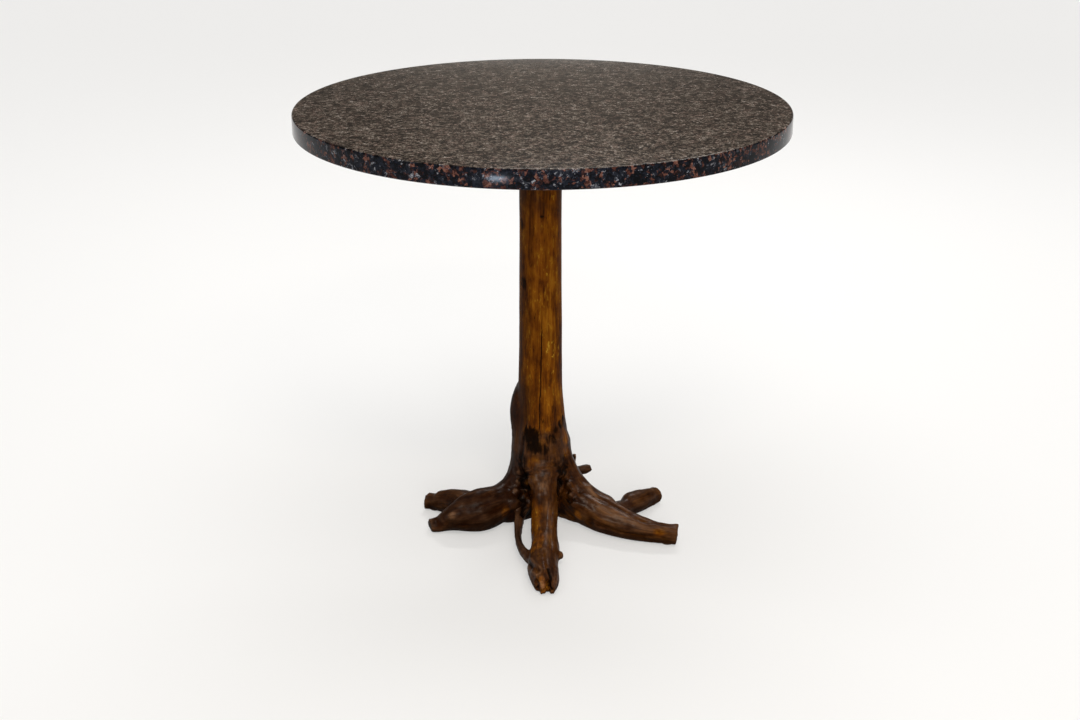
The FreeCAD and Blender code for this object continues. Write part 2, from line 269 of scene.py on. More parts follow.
stump = {
    "voxel": 2.55 * mm,
    "mergeWithin": 0.02 * mm,
    "smoothing": 3,
    "webSmoothing": 10,
    "crownSmoothing": 8,
    "throatSmoothing": 40,
    # the spike and the stub stay sharp: they lie beyond this corner
    "thornCorner": (48 * mm, 6 * mm, 50 * mm),
    "crown": {"low": 22 * mm, "high": 240 * mm, "radius": 120 * mm},
    # where the trunk turns into the front and back roots
    "throat": {"low": 80 * mm, "high": 155 * mm, "side": 45 * mm, "out": 20 * mm},
    # smaller faces at the broken tip and at the front of the crown
    "fine": {
        "tip": -290 * mm, "front": -45 * mm, "low": 35 * mm, "high": 95 * mm,
        "inner": 15 * mm, "outer": 65 * mm},

    # paths of the stems, which guide the grain: x, y, z and half thickness, from the crown outwards;
    # the trunk and the four main roots come first
    "paths": {
        "trunk": [
            (-3, 0, 708, 37), (-3, 0, 560, 37), (-3, 0, 400, 38), (-3, 0, 245, 40),
            (-1, -1, 135, 44), (0, -2, 60, 48)],
        "leftRoot": [
            (-29, 6, 240, 17), (-32, 3, 165, 23), (-31, -5, 115, 24), (-40, -24, 71, 26), (-74, -58, 41, 31),
            (-116, -86, 33, 36), (-153, -92, 26, 28), (-178, -92, 15, 18), (-202, -96, 9, 14)],
        "rightRoot": [
            (15, 2, 172, 16), (26, -6, 122, 24), (41, -20, 76, 29), (70, -54, 40, 33),
            (114, -94, 27, 30), (170, -126, 20, 24), (238, -143, 15, 20)],
        "frontRoot": [
            (2, 4, 152, 20), (3, -12, 116, 27), (3, -42, 80, 28), (4, -90, 48, 25), (4, -155, 28, 22),
            (3, -220, 20, 24), (2, -274, 18, 26), (6, -320, 13, 21), (7, -337, 9, 14)],
        "backRoot": [
            (0, -6, 150, 20), (-1, 12, 116, 27), (-2, 42, 80, 28), (-5, 92, 44, 26),
            (-9, 150, 24, 23), (-14, 216, 15, 20)],
        "leftFork": [
            (-112, -70, 33, 26), (-142, -48, 29, 25), (-167, -28, 24, 22), (-188, -12, 16, 18),
            (-212, 0, 13, 18)],
        "rightFork": [(104, -78, 24, 20), (142, -46, 17, 18), (174, -14, 13, 17), (211, 28, 11, 16)],
        "loopRootlet": [
            (-26, -58, 40, 12), (-41, -106, 24, 8), (-42, -156, 19, 7), (-35, -204, 18, 7),
            (-19, -242, 19, 10), (-5, -272, 20, 13)],
        "stub": [(40, 12, 58, 14), (66, 26, 61, 9), (84, 31, 64, 8), (91, 32, 65, 5)],
    },
    "mainStems": 5,
    "pathSteps": 10,
    "stemBlend": 9.0,
    # inside its parent a stem is only a thin pith: parent, and how many of its points come first
    "parents": {
        "leftFork": ("leftRoot", 5), "rightFork": ("rightRoot", 4),
        "loopRootlet": ("frontRoot", 3), "stub": ("rightRoot", 3)},
    "pith": [(-3, 0, 708), (-3, 0, 560), (-3, 0, 400), (-3, 0, 300)],
    "pithHalf": 3,

    # wood that fills the corners between stems and thickens the right fork: chains of x, y, z and radius
    "webs": [
        [(37, -42, 23, 22), (50, -50, 23, 22), (62, -60, 24, 23)],
        [(-26, -46, 23, 22), (-45, -58, 24, 23), (-62, -62, 25, 24)],
        [(-50, -66, 42, 18), (-57, -69, 42, 18)],
        [(163, -25, 21, 20), (180, -10, 20, 19), (197, 10, 17, 16)],
    ],
    "webSteps": 5,
    "webReach": 1.4,
    "webFoot": 6 * mm,

    # swelling where stems meet: radius, and where it starts and ends
    "swelling": {
        "fillet": 8.0 * mm, "foot": (15 * mm, 40 * mm), "top": (240 * mm, 190 * mm),
        "reach": (150 * mm, 100 * mm), "throatFoot": (55 * mm, 85 * mm),
        "throatTop": (190 * mm, 150 * mm), "throatSide": (45 * mm, 25 * mm)},

    # for each path: how amber the wood is, height of lumps and of flutes
    "habit": {
        "trunk": (0.15, 0.3, 0.3), "leftRoot": (0.0, 1.8, 1.2), "rightRoot": (0.15, 1.8, 2.4),
        "frontRoot": (0.2, 1.2, 1.0), "backRoot": (0.15, 1.8, 1.4), "leftFork": (0.05, 1.6, 1.0),
        "rightFork": (0.08, 1.6, 1.4), "loopRootlet": (0.0, 0.5, 0.4), "stub": (0.05, 0.3, 0.2)},
    "lumpsPerMetre": 21,
    "flutesPerMetre": (72, 72, 8),
    "pimplesPerMetre": 95,
    "pimpleHeight": 0.55 * mm,
    "wrinklesPerMetre": (45, 45, 150),
    "wrinkleHeight": 0.7 * mm,
    "wrinkleOut": (-30 * mm, -50 * mm),
    "wrinkleUp": (50 * mm, 70 * mm),
    "raggedPerMetre": (60, 60, 22),
    "rootsBelow": (200 * mm, 150 * mm),
    # feet stay flat, and so does the sawn end under the plate
    "flatFeet": (1.8 * mm, 12 * mm),
    "flatHead": (707.5 * mm, 700 * mm),

    # burls and hollows, laid on the nearest skin: x, y, z, radius and height
    "burls": [
        (-43, -54, 77, 7, 7), (-30, -62, 64, 6, 7), (-47, -64, 62, 6, 6), (-34, -78, 46, 6, 6),
        (-56, -82, 47, 15, 6), (-50, -48, 92, 8, 4), (48, -62, 75, 7, 7), (51, -74, 61, 6, 7),
        (57, -86, 47, 8, 6), (43, -54, 90, 7, 4), (1, -86, 82, 14, 4), (12, -80, 92, 7, 2),
        (-13, -80, 92, 7, 2), (-160, -117, 39, 10, 4), (-150, -50, 50, 16, 3), (-104, -118, 36, 16, 3),
        (205, -159, 27, 7, -2), (85, -112, 25, 9, -4), (-2, -37, 567, 4, 0.8), (14, -36, 330, 10, -0.6),
        (120, -74, 52, 12, 3), (150, -145, 30, 9, -2), (86, -62, 72, 9, 4), (104, -104, 50, 12, 2.5),
        (146, -132, 40, 14, 2.5), (-188, -22, 34, 9, 3), (214, 22, 26, 12, 2), (-20, -292, 28, 9, -2.5),
        (-60, -60, 66, 7, -3), (-40, -72, 56, 5, -4), (66, -74, 66, 6, -3), (44, -72, 66, 4, -3),
        (48, -84, 52, 4, -3),
    ],
    # hollows drawn on the skin: two ends, radius, depth and how black; the black is painted shade in the
    # hollow, and the real black split at the tip
    "creases": [
        ((-32, -48, 84), (-30, -98, 36), 8, 8, 1.2), ((32, -60, 82), (33, -98, 34), 8, 8, 1.2),
        ((36, -36, 118), (33, -60, 84), 4, 2, 0.5), ((-33, -40, 112), (-33, -50, 88), 4, 2, 0.6),
        ((-27, -34, 250), (-29, -36, 120), 3, 1.5, 0.4), ((9, -314, 38), (14, -340, 10), 3, 3, 1.0),
        ((92, -80, 62), (185, -142, 36), 4, 2.5, 0.3), ((100, -118, 24), (180, -150, 18), 4, 2, 0.5),
        ((16, -110, 56), (17, -240, 40), 3, 1, 0.3), ((2, -250, 44), (4, -310, 36), 3, 1.2, 0.3),
    ],
    "lineSteps": 8,
    "creaseRagged": 0.25,
    "creaseSpread": 0.7,
    # painted shade: black in the corners between stems, and in hollows: strength and limits
    "cornerShade": 0.6,
    "cornerGap": (7 * mm, 0.0),
    "cornerTop": (110 * mm, 70 * mm),
    "hollowRounds": 14,
    "hollowShade": 0.85,
    "hollowDepth": (0.35, 1.6),
    # healed scar near the end of the front root: a dark lens with a pale rim
    "lensScar": {
        "ends": ((-24, -268, 28), (-8, -314, 36)), "radius": 4.5, "depth": 2.0, "black": 0.55,
        "rim": 1.1, "rimAt": 1.6, "rimWidth": 0.4},
    # ragged end of the front root: where it starts and ends, and how far it is drawn back at each width
    "brokenTip": {
        "limits": (-296 * mm, -336 * mm), "splinter": 3.0 * mm, "splintersPerMetre": (260, 20, 160),
        "teeth": [
            (-30, 2), (-8, 1), (-5, 0), (3, 0), (6, 4), (12, 4), (14, 1), (19, 2), (21, 5), (30, 8)]},

    # amber wood of the trunk: its ragged sloping lower edge, and where it is browner; the left side and the
    # left column are browner wood with painted shade, and the band under the stone is painted shadow
    "lightWood": {
        "from": 170 * mm, "slope": 0.28, "ragged": 11 * mm, "soft": 14 * mm,
        "leftBrownAndShade": 0.42, "left": (-14 * mm, -34 * mm), "leftRagged": 8 * mm,
        "columnBrownAndShade": 0.8, "columnSide": (-23 * mm, -29 * mm), "columnTop": (270 * mm, 240 * mm),
        "bands": [(0.6, (550 * mm, 620 * mm)), (0.14, (310 * mm, 240 * mm))], "bandRagged": 12 * mm},
    # patches: x, y, z, radius and strength; amber above 1 brings gold flecks
    "patchRagged": 0.5,
    "patchEdge": (1.4, 0.4),
    "amberPatches": [
        (-14, -104, 58, 13, 0.7), (-15, -125, 50, 15, 1.3), (-15, -145, 45, 15, 1.35),
        (-15, -165, 41, 15, 1.35), (-14, -187, 40, 15, 1.3), (-13, -210, 40, 15, 1.2),
        (-11, -235, 40, 14, 0.8), (-3, -342, 14, 12, 1.2), (-2, -332, 26, 8, 1.0),
        (9, -130, 56, 14, 0.4), (10, -165, 47, 14, 0.4), (10, -200, 44, 14, 0.4), (11, -240, 42, 16, 0.4),
        (38, -24, 152, 15, 0.95), (42, -30, 126, 12, 0.65), (-14, -47, 112, 14, 0.5),
        (4, -44, 150, 12, 0.3), (64, -94, 30, 10, 0.9), (120, -112, 40, 26, 0.25),
        (205, -159, 27, 11, 0.7), (7, -39, 174, 6, 1.0), (-68, -94, 38, 8, 0.5),
        (14, -34, 325, 24, 1.5), (19, -32, 280, 14, 1.3), (-4, -36, 470, 20, 1.2), (12, -34, 600, 20, 1.2),
    ],
    # real stains, and painted shade in crevices, between lumps and on the flanks of the crown
    "stainAndShadePatches": [
        (-18, -39, 160, 18, 1.1), (-13, -43, 142, 16, 1.0), (3, -44, 140, 12, 0.75), (-6, -46, 118, 7, 0.6),
        (-35, -24, 444, 14, 0.65), (-37, -16, 548, 14, 0.65), (-32, -22, 380, 12, 0.5),
        (32, -27, 180, 9, 0.8), (22, -35, 172, 9, 0.7), (38, -20, 186, 8, 0.8), (85, -112, 25, 9, 0.6),
        (-2, -37, 567, 3, 0.9), (14, -42, 155, 14, 0.7), (-33, -84, 44, 8, 0.9), (36, -88, 42, 8, 0.9),
        (44, -58, 82, 8, 0.6), (48, -70, 66, 8, 0.6), (42, -82, 50, 8, 0.8), (-40, -58, 66, 12, 0.55),
        (58, -80, 52, 7, 0.5), (-25, -42, 112, 20, 0.6), (25, -42, 112, 20, 0.6), (-30, -50, 94, 15, 0.7),
        (31, -50, 94, 15, 0.7), (2, -50, 122, 16, 0.45), (57, 19, 92, 9, 1.3), (-32, -74, 24, 12, 0.9),
        (36, -66, 22, 12, 0.8),
    ],
    # lighter patches: pale broken wood at the tip, and painted highlights on the hump, the lumps and the
    # collar
    "wornAndSheenPatches": [
        (1, -86, 82, 10, 1.6), (4, -78, 95, 8, 0.7), (-43, -54, 77, 6, 1.2), (-31, -62, 64, 5, 1.2),
        (-50, -64, 62, 5, 0.9), (48, -62, 75, 4, 1.0), (52, -76, 61, 4, 1.0), (-160, -117, 39, 7, 1.2),
        (198, 10, 28, 8, 0.6), (-4, -338, 20, 7, 1.5),
    ],
    # painted highlights along ridges: two ends, radius and strength
    "sheenRidges": [
        ((82, -56, 71), (103, -106, 50), 6, 1.3), ((103, -106, 50), (146, -134, 40), 7, 1.5),
        ((146, -134, 40), (189, -154, 31), 6, 1.1), ((8, -112, 58), (10, -215, 44), 6, 0.6),
    ],
    "ridgeRagged": 0.6,
    # raised places are lighter: wear and painted highlight
    "raisedWearAndSheen": 0.4,
    "raisedWearAndSheenMost": 1.2,
}


def softStep(value, low, high):
    t = np.clip((value - low) / (high - low), 0, 1)
    return t * t * (3 - 2 * t)


def noiseAt(points, scale, octaves):
    return np.array([noise.fractal(Vector(p), 1.0, 2.0, octaves) for p in points * np.array(scale)])


def readMesh(mesh):
    places = np.empty(len(mesh.vertices) * 3)
    normals = np.empty(len(mesh.vertices) * 3)
    mesh.vertices.foreach_get("co", places)
    mesh.vertex_normals.foreach_get("vector", normals)
    return places.reshape(-1, 3), normals.reshape(-1, 3)


def moveMesh(mesh, places):
    mesh.vertices.foreach_set("co", places.ravel())
    mesh.update()


def smoothPath(points):
    # curve through the points, and the half thickness along it
    ends = [Vector(p[:3]) * mm for p in points]
    halves = [p[3] * mm for p in points]
    steps = stump["pathSteps"]
    line, reach = [], []
    for i in range(len(ends) - 1):
        before = ends[max(i - 1, 0)]
        after = ends[min(i + 2, len(ends) - 1)]
        firstHandle = ends[i] + (ends[i + 1] - before) / 6
        lastHandle = ends[i + 1] - (after - ends[i]) / 6
        span = geometry.interpolate_bezier(ends[i], firstHandle, lastHandle, ends[i + 1], steps + 1)
        for k in range(steps + (i == len(ends) - 2)):
            line.append(span[k])
            reach.append(halves[i] + (halves[i + 1] - halves[i]) * k / steps)
    return np.array(line), np.array(reach)


def wholePath(name):
    paths = stump["paths"]
    if name == "trunk":
        return paths[name]
    parent, count = stump["parents"].get(name, ("trunk", 0))
    lead = stump["pith"] + paths[parent][:count]
    return [(*p[:3], stump["pithHalf"]) for p in lead] + paths[name]


def stemAxes(centres):
    # direction of a path, and two directions across it that are carried along without twist
    tangents = np.gradient(centres, axis=0)
    tangents /= np.linalg.norm(tangents, axis=1)[:, None]
    side = np.empty_like(centres)
    turn = np.array((1.0, 0.0, 0.0))
    for i, tangent in enumerate(tangents):
        turn = turn - tangent * (turn @ tangent)
        turn /= np.linalg.norm(turn)
        side[i] = turn
    return tangents, side, np.cross(side, tangents)


def followGrain(places):
    # for each vertex: place in its stem, the habit of its stem, and distance outside each stem
    ratios, depths, local = [], [], []
    for name in stump["paths"]:
        centres, reaches = smoothPath(wholePath(name))
        tangents, side, over = stemAxes(centres)
        travelled = np.concatenate([[0], np.cumsum(np.linalg.norm(np.diff(centres, axis=0), axis=1))])
        distance = np.linalg.norm(places[:, None, :] - centres[None], axis=2)
        nearest = (distance / reaches).argmin(axis=1)
        offset = places - centres[nearest]
        across, up, along = [(offset * axis[nearest]).sum(axis=1) for axis in (side, over, tangents)]
        local.append(np.stack([across, up, travelled[nearest] + along], axis=1))
        ratios.append((distance / reaches).min(axis=1))
        depths.append((distance - reaches).min(axis=1))
    ratios = np.array(ratios)
    weights = np.exp(-stump["stemBlend"] * (ratios - ratios.min(axis=0)))
    weights /= weights.sum(axis=0)
    grain = (np.array(local) * weights[:, :, None]).sum(axis=0)
    habit = weights.T @ np.array([stump["habit"][name] for name in stump["paths"]])
    return grain, habit, np.array(depths)


def onSkin(places, point):
    return places[np.linalg.norm(places - point, axis=1).argmin()]


def nearSpot(places, x, y, z, radius):
    # distance to a spot on the skin, in radii
    middle = onSkin(places, np.array((x, y, z)) * mm)
    return np.linalg.norm(places - middle, axis=1) / (radius * mm)


def nearLine(places, start, end, radius):
    # distance to a line that is drawn on the skin from start to end, in radii
    first, last = np.array((start, end)) * mm
    steps = stump["lineSteps"]
    line = [onSkin(places, first + (last - first) * i / steps) for i in range(steps + 1)]
    gap = np.full(len(places), np.inf)
    for a, b in zip(line, line[1:]):
        run = max((b - a) @ (b - a), 1e-9)
        share = np.clip(((places - a) @ (b - a)) / run, 0, 1)
        gap = np.minimum(gap, np.linalg.norm(places - a - share[:, None] * (b - a), axis=1))
    return gap / (radius * mm)


def patchwork(places, patches, ragged):
    cover = np.zeros(len(places))
    for *spot, strength in patches:
        gap = nearSpot(places, *spot) + stump["patchRagged"] * ragged
        cover = np.maximum(cover, strength * softStep(gap, *stump["patchEdge"]))
    return cover


def hollowness(mesh):
    # how far each place lies below its smoothed surroundings
    places, normals = readMesh(mesh)
    total = len(places)
    ends = np.empty(len(mesh.edges) * 2, dtype=np.int64)
    mesh.edges.foreach_get("vertices", ends)
    one, other = ends.reshape(-1, 2).T
    count = np.bincount(ends, minlength=total)[:, None]
    soft = places.copy()
    for _ in range(stump["hollowRounds"]):
        around = [np.bincount(one, c[other], total) + np.bincount(other, c[one], total) for c in soft.T]
        soft = 0.4 * soft + 0.6 * np.array(around).T / count
    return ((soft - places) * normals).sum(axis=1)


def notThorn(co):
    return not all(value > limit for value, limit in zip(co, stump["thornCorner"]))


def inCrown(co):
    crown = stump["crown"]
    return crown["low"] < co.z < crown["high"] and co.xy.length < crown["radius"] and notThorn(co)


def inThroat(co):
    throat = stump["throat"]
    return throat["low"] < co.z < throat["high"] and abs(co.x) < throat["side"] and abs(co.y) > throat["out"]


def nearWeb(co):
    balls = [p for chain in stump["webs"] for p in chain]
    reach = stump["webReach"] * mm
    return co.z > stump["webFoot"] and any((co - Vector(p[:3]) * mm).length < reach * p[3] for p in balls)


def wantsFineFaces(co):
    fine = stump["fine"]
    inFront = co.y < fine["front"] and fine["low"] < co.z < fine["high"]
    return co.y < fine["tip"] or (inFront and fine["inner"] < abs(co.x) < fine["outer"])


def smoothPiece(piece, rounds, wanted):
    bm = bmesh.new()
    bm.from_mesh(piece.data)
    some = [v for v in bm.verts if wanted(v.co)]
    for _ in range(rounds):
        bmesh.ops.smooth_vert(bm, verts=some, factor=0.5, use_axis_x=True, use_axis_y=True, use_axis_z=True)
    bm.to_mesh(piece.data)
    bm.free()


def webBalls():
    steps = stump["webSteps"]
    for chain in stump["webs"]:
        for first, last in zip(chain, chain[1:]):
            for i in range(steps):
                yield np.array(first) * mm + (np.array(last) - np.array(first)) * mm * i / (steps - 1)


def stumpSkin():
    bm = bmesh.new()
    bm.from_mesh(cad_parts["stump_pedestal"].data)
    bmesh.ops.remove_doubles(bm, verts=bm.verts, dist=stump["mergeWithin"])
    for *place, radius in webBalls():
        filling = bmesh.ops.create_icosphere(bm, subdivisions=3, radius=radius)["verts"]
        bmesh.ops.translate(bm, verts=filling, vec=place)
    piece = makePiece("stumpPedestal", bm)
    remesh = piece.modifiers.new("skin", "REMESH")
    remesh.mode = "VOXEL"
    remesh.voxel_size = stump["voxel"]
    skin = bpy.data.meshes.new_from_object(piece.evaluated_get(bpy.context.evaluated_depsgraph_get()))
    piece.modifiers.clear()
    piece.data = skin
    for face in skin.polygons:
        face.use_smooth = True
    smoothPiece(piece, stump["smoothing"], notThorn)
    smoothPiece(piece, stump["webSmoothing"], nearWeb)
    return piece


def blendCrown(piece):
    # roots and trunk flow into each other: the wood swells where two stems meet
    limits = stump["swelling"]
    places, normals = readMesh(piece.data)
    x, y, z = places.T
    depths = followGrain(places)[2][:stump["mainStems"]]
    throat = softStep(z, *limits["throatFoot"]) * softStep(z, *limits["throatTop"])
    throat *= softStep(np.abs(x), *limits["throatSide"])
    k = limits["fillet"] * (1 + throat)
    swell = k * np.log(np.exp((depths.min(axis=0) - depths) / k).sum(axis=0))
    swell *= softStep(z, *limits["foot"]) * softStep(np.hypot(x, y), *limits["reach"])
    swell *= np.array([notThorn(p) for p in places]) * softStep(z, *limits["top"])
    moveMesh(piece.data, places + normals * swell[:, None])
    smoothPiece(piece, stump["crownSmoothing"], inCrown)
    smoothPiece(piece, stump["throatSmoothing"], inThroat)


def refine(piece):
    bm = bmesh.new()
    bm.from_mesh(piece.data)
    fine = [e for e in bm.edges if all(wantsFineFaces(v.co) for v in e.verts)]
    bmesh.ops.subdivide_edges(bm, edges=fine, cuts=1, smooth=0.5, use_grid_fill=True)
    bm.to_mesh(piece.data)
    bm.free()


def breakTip(mesh):
    tip = stump["brokenTip"]
    places, _ = readMesh(mesh)
    widths, lengths = np.array(tip["teeth"]).T * mm
    back = np.interp(places[:, 0], widths, lengths)
    back += tip["splinter"] * noiseAt(places, tip["splintersPerMetre"], 2)
    places[:, 1] += back * softStep(places[:, 1], *tip["limits"])
    moveMesh(mesh, places)


def bareRelief(places, grain, habit, low):
    # lumps, flutes, pimples, wrinkles over the front root, and burls
    rise = noiseAt(places, stump["lumpsPerMetre"], 2) * habit[:, 1] * mm
    rise += noiseAt(grain, stump["flutesPerMetre"], 2) * habit[:, 2] * mm
    rise += noiseAt(places, stump["pimplesPerMetre"], 2) * stump["pimpleHeight"] * low
    front = low * softStep(places[:, 1], *stump["wrinkleOut"]) * softStep(places[:, 2], *stump["wrinkleUp"])
    rise += noiseAt(places, stump["wrinklesPerMetre"], 2) * stump["wrinkleHeight"] * front
    for *spot, height in stump["burls"]:
        rise += height * mm * np.exp(-nearSpot(places, *spot) ** 2)
    return rise


def lightWoodCover(places, ragged):
    look = stump["lightWood"]
    x, z = places[:, 0], places[:, 2]
    edge = look["from"] + look["slope"] * x + look["ragged"] * ragged
    cover = softStep(z, edge - look["soft"], edge + look["soft"])
    # browner wood with painted shade on the left side, and on the left column
    cover *= 1 - look["leftBrownAndShade"] * softStep(x + look["leftRagged"] * ragged, *look["left"])
    column = softStep(x, *look["columnSide"]) * softStep(z, *look["columnTop"])
    cover *= 1 - look["columnBrownAndShade"] * column
    for share, limits in look["bands"]:  # painted shadow of the stone under it, and darker towards the crown
        cover *= 1 - share * softStep(z + look["bandRagged"] * ragged, *limits)
    return cover


def carve(piece):
    # moves the skin, and stores grain, amber, stains with painted shade in corners, creases and hollows, and
    # wear with painted highlights, for the finish
    mesh = piece.data
    places, normals = readMesh(mesh)
    z = places[:, 2]
    grain, habit, depths = followGrain(places)
    low = softStep(z, *stump["rootsBelow"])  # 1 in the crown and roots
    ragged = noiseAt(grain, stump["raggedPerMetre"], 4)
    rise = bareRelief(places, grain, habit, low)

    # painted shade: black in the corners between the main stems
    nextStem = np.sort(depths[:stump["mainStems"]], axis=0)[1]
    stainAndShade = stump["cornerShade"] * softStep(nextStem, *stump["cornerGap"]) * softStep(z, *stump["cornerTop"])
    # painted shade: each crease is darkened along its line
    for start, end, radius, depth, black in stump["creases"]:
        gap = nearLine(places, start, end, radius) + stump["creaseRagged"] * ragged
        rise -= depth * mm * np.exp(-gap * gap)
        stainAndShade = np.maximum(stainAndShade, black * np.exp(-stump["creaseSpread"] * gap * gap))
    scar = stump["lensScar"]
    scarGap = nearLine(places, *scar["ends"], scar["radius"])
    rise -= scar["depth"] * mm * np.exp(-scarGap**2)
    stainAndShade = np.maximum(stainAndShade, scar["black"] * np.exp(-scarGap**4))
    # stain patches: real stains, and painted shade in crevices and between lumps
    stainAndShade = np.maximum(stainAndShade, patchwork(places, stump["stainAndShadePatches"], ragged))
    amber = np.maximum(habit[:, 0], lightWoodCover(places, ragged))
    amber = np.maximum(amber, patchwork(places, stump["amberPatches"], ragged))

    rise *= softStep(z, *stump["flatFeet"]) * softStep(z, *stump["flatHead"])
    moveMesh(mesh, places + normals * rise[:, None])
    breakTip(mesh)

    hollow = hollowness(mesh) / mm
    # painted shade: the hollows are darkened
    stainAndShade = np.maximum(stainAndShade, stump["hollowShade"] * softStep(hollow, *stump["hollowDepth"]) * low)
    # wear and painted highlight: raised places are lighter; the scar's pale rim is real
    wear = np.clip(-hollow, 0, stump["raisedWearAndSheenMost"]) * stump["raisedWearAndSheen"] * low
    wear = np.maximum(wear, scar["rim"] * np.exp(-(((scarGap - scar["rimAt"]) / scar["rimWidth"]) ** 2)))
    wear = np.maximum(wear, patchwork(places, stump["wornAndSheenPatches"], ragged))
    # painted highlights along the ridges
    for start, end, radius, strength in stump["sheenRidges"]:
        gap = nearLine(places, start, end, radius) + stump["ridgeRagged"] * ragged
        wear = np.maximum(wear, strength * np.exp(-gap * gap))
    for name, values in (("amber", amber), ("stainAndShade", stainAndShade), ("wear", wear)):
        mesh.attributes.new(name, "FLOAT", "POINT").data.foreach_set("value", values.astype(np.float32))
    store = mesh.attributes.new("grain", "FLOAT_VECTOR", "POINT").data
    store.foreach_set("vector", grain.astype(np.float32).ravel())


# Varnished wood of the stump

stumpFinish = {
    # noise drawn out along the grain: turns per metre across it, and how much slower along it
    "streak": {"across": 120, "along": 0.09, "Detail": 5.0, "Roughness": 0.65, "Distortion": 0.6},
    "fibre": {"across": 520, "along": 0.05, "Detail": 3.0, "Roughness": 0.6},
    "mottle": {"across": 46, "along": 0.45, "Detail": 4.0, "Roughness": 0.62},
    "fleck": {"across": 230, "along": 0.3, "Detail": 2.0, "Distortion": 1.0},
    "hair": {"across": 150, "along": 0.06, "Detail": 3.0, "Distortion": 0.8},
    # flame: streaks and mottle that make the edges of amber, and of stains and painted shade, ragged
    "flameStreak": 2.2,
    "flameMottle": 1.2,
    "flameBase": -1.7,
    "amberFlame": (0.45, 0.06),
    "stainAndShadeFlame": -0.8,
    "stainAndShadeEdge": (0.25, 0.9),
    "stainAndShadeCover": 0.92,
    "goldFrom": (1.0, 1.4),
    "fleckEdge": (0.58, 0.66),
    "fleckGold": 0.7,
    "fleckAmber": 0.35,
    "fleckMottle": (0.42, 0.6),
    "wornAndSheenFlame": (0.5, 0.3),
    # hairline cracks
    "hairWidth": (0.016, 0.003),
    "hairMottle": (0.62, 0.42),
    "hairCover": 0.75,
    "fibreShade": (1.2, 0.4),
    # painted shade on undersides: facing range, and how much darker the root wood gets
    "upward": (-0.5, 0.4),
    "underShade": 0.55,
    # colours from dark to light
    "trunkColour": [
        (0.32, (0.034, 0.009, 0.001)), (0.42, (0.094, 0.024, 0.002)), (0.51, (0.165, 0.047, 0.003)),
        (0.6, (0.25, 0.082, 0.005)), (0.72, (0.37, 0.15, 0.01))],
    "rootColour": [
        (0.3, (0.008, 0.002, 0.0004)), (0.46, (0.017, 0.0043, 0.0008)),
        (0.58, (0.027, 0.007, 0.0013)), (0.74, (0.05, 0.0145, 0.0032))],
    "goldColour": (0.45, 0.22, 0.018),
    "wornAndSheenColour": (0.29, 0.145, 0.07),
    "hairColour": (0.004, 0.002, 0.001),
    "stainAndShadeColour": (0.003, 0.0016, 0.001),
    "checkColour": (0.0015, 0.0008, 0.0006),
    # drying check up the front of the trunk: x and z of its ends, and how it fades there
    "checkFoot": (-5 * mm, 176 * mm),
    "checkHead": (0.5 * mm, 418 * mm),
    "checkHalf": 1.3 * mm,
    "checkCore": 0.4,
    "checkWander": 3 * mm,
    "wandersPerMetre": 60,
    "footFade": (-6 * mm, 4 * mm),
    "headFade": (10 * mm, -90 * mm),
    "frontFade": (0.0, -10 * mm),
    # varnish is thickest on upper faces, and thin on amber, on stains and painted shade, and on the ends of
    # the side roots
    "shine": 0.01,
    "rough": (0.2, 0.4),
    "roughMottle": (0.25, 0.75),
    "varnish": 0.42,
    "varnishRough": 0.34,
    "varnishFacing": (-0.2, 0.6),
    "varnishUnder": 0.06,
    "varnishLoss": 0.8,
    "leftEnd": (-50 * mm, -90 * mm),
    "rightEnd": (150 * mm, 200 * mm),
    "endLoss": 0.6,
    "ripplesPerMetre": 85,
    "ripple": {"strength": 0.25, "distance": 3.0 * mm},
    "pitsPerMetre": 260,
    "relief": {"strength": 0.45, "distance": 1.2 * mm},
    "reliefShares": {"streak": 0.6, "fibre": 0.4, "pits": 0.3, "hair": -0.5},
}


def alongGrain(tree, grain, across, along, **sockets):
    stretched = add(tree, "ShaderNodeMapping", {"Vector": grain, "Scale": (1, 1, along)}).outputs[0]
    return grains(tree, stretched, across, **sockets)


def stored(tree, name, output="Fac"):
    return add(tree, "ShaderNodeAttribute", attribute_name=name).outputs[output]


def dryingCheck(tree, place):
    # 1 inside the check
    look = stumpFinish
    x, y, z = split(tree, place)
    (footX, footZ), (headX, headZ) = look["checkFoot"], look["checkHead"]
    lean = (headX - footX) / (headZ - footZ)
    wander = grains(tree, place, look["wandersPerMetre"], Detail=2.0)
    line = scaled(tree, z, lean, footX - lean * footZ)
    line = maths(tree, "ADD", line, scaled(tree, wander, look["checkWander"], -look["checkWander"] / 2))
    gap = maths(tree, "ABSOLUTE", maths(tree, "SUBTRACT", x, line))
    inside = between(tree, gap, look["checkHalf"], look["checkCore"] * look["checkHalf"])
    for end, name in ((footZ, "footFade"), (headZ, "headFade")):
        inside = times(tree, inside, between(tree, z, *(end + fade for fade in look[name])))
    return times(tree, inside, between(tree, y, *look["frontFade"]))


